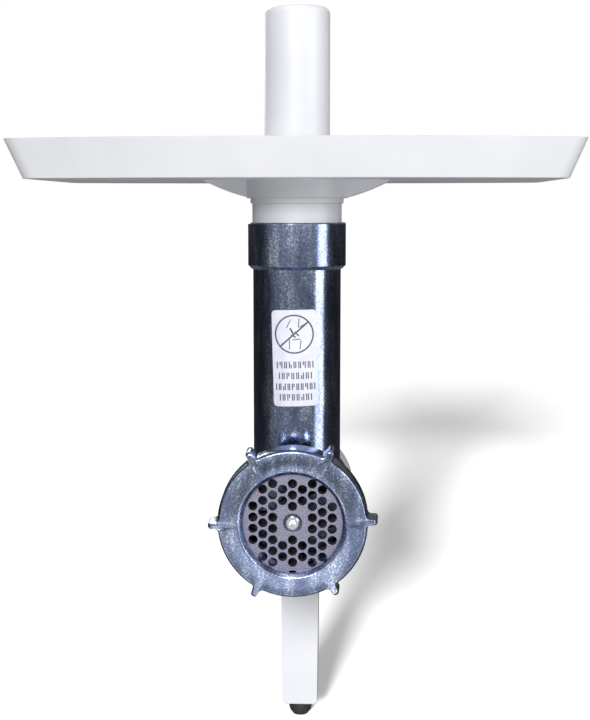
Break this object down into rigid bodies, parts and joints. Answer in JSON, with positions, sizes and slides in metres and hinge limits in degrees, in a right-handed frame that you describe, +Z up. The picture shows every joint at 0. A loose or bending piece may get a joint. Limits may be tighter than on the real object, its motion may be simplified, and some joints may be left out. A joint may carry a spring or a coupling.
{
  "type": "meat grinder",
  "caption": "Meat grinder head for an electric machine: cast body with upright feed tube, tray and pusher, worm, knife, hole plate, ring nut and support leg.",
  "frame": {"origin": "on the worm's axis in the shoulder plane where the machine's hub stops", "axes": "+Y along the worm's axis into the machine, +Z up along the feed tube, +X to the right seen from the mouth"},
  "size_m": [0.273, 0.165, 0.376],
  "materials": {
    "cast_aluminium": "sand-cast and tumbled, satin",
    "steel": "machined",
    "plate_steel": "ground flat",
    "bush_bronze": "turned",
    "rubber": "matt",
    "label": "satin film",
    "nylon": "natural",
    "white_plastic": "satin"
  },
  "bodies": {
    "root": {"grinder_body": "cast_aluminium", "plate_key_pin": "steel", "rear_bush": "bush_bronze", "shaft_seal": "rubber", "thrust_washer": "nylon", "safety_label": "label", "support_leg": "white_plastic", "clamp_screw": "steel", "clamp_washer": "steel", "clamp_nut": "steel", "rubber_foot": "rubber"},
    "worm": {"worm": "cast_aluminium", "worm_shaft": "steel", "stub_pin": "steel", "knife": "steel", "drive_coupling": "nylon", "coupling_washer": "steel", "coupling_screw": "steel"},
    "plate": {"hole_plate": "plate_steel"},
    "ring": {"ring_nut": "cast_aluminium"},
    "tray": {"tray": "white_plastic"},
    "pusher": {"pusher_shell": "white_plastic", "pusher_plug": "white_plastic"}
  },
  "joints": [
    {"name": "worm_spin", "type": "hinge", "parent": "root", "child": "worm", "pos_m": [0, 0, 0], "axis": [0, 1, 0], "continuous": true},
    {"name": "plate_slide", "type": "slide", "parent": "root", "child": "plate", "axis": [0, -1, 0], "range_m": [0, 0.0121]},
    {"name": "ring_turn", "type": "hinge", "parent": "plate", "child": "ring", "pos_m": [0, -0.1, 0], "axis": [0, -1, 0], "range_deg": [0, 1080]},
    {"name": "tray_lift", "type": "slide", "parent": "root", "child": "tray", "axis": [0, 0, 1], "range_m": [0, 0.03]},
    {"name": "pusher_lift", "type": "slide", "parent": "tray", "child": "pusher", "axis": [0, 0, 1], "range_m": [0, 0.19]}
  ],
  "couplings": [
    {"joint": "plate_slide", "follows": "ring_turn", "m_per_rad": 0.00063662}
  ]
}
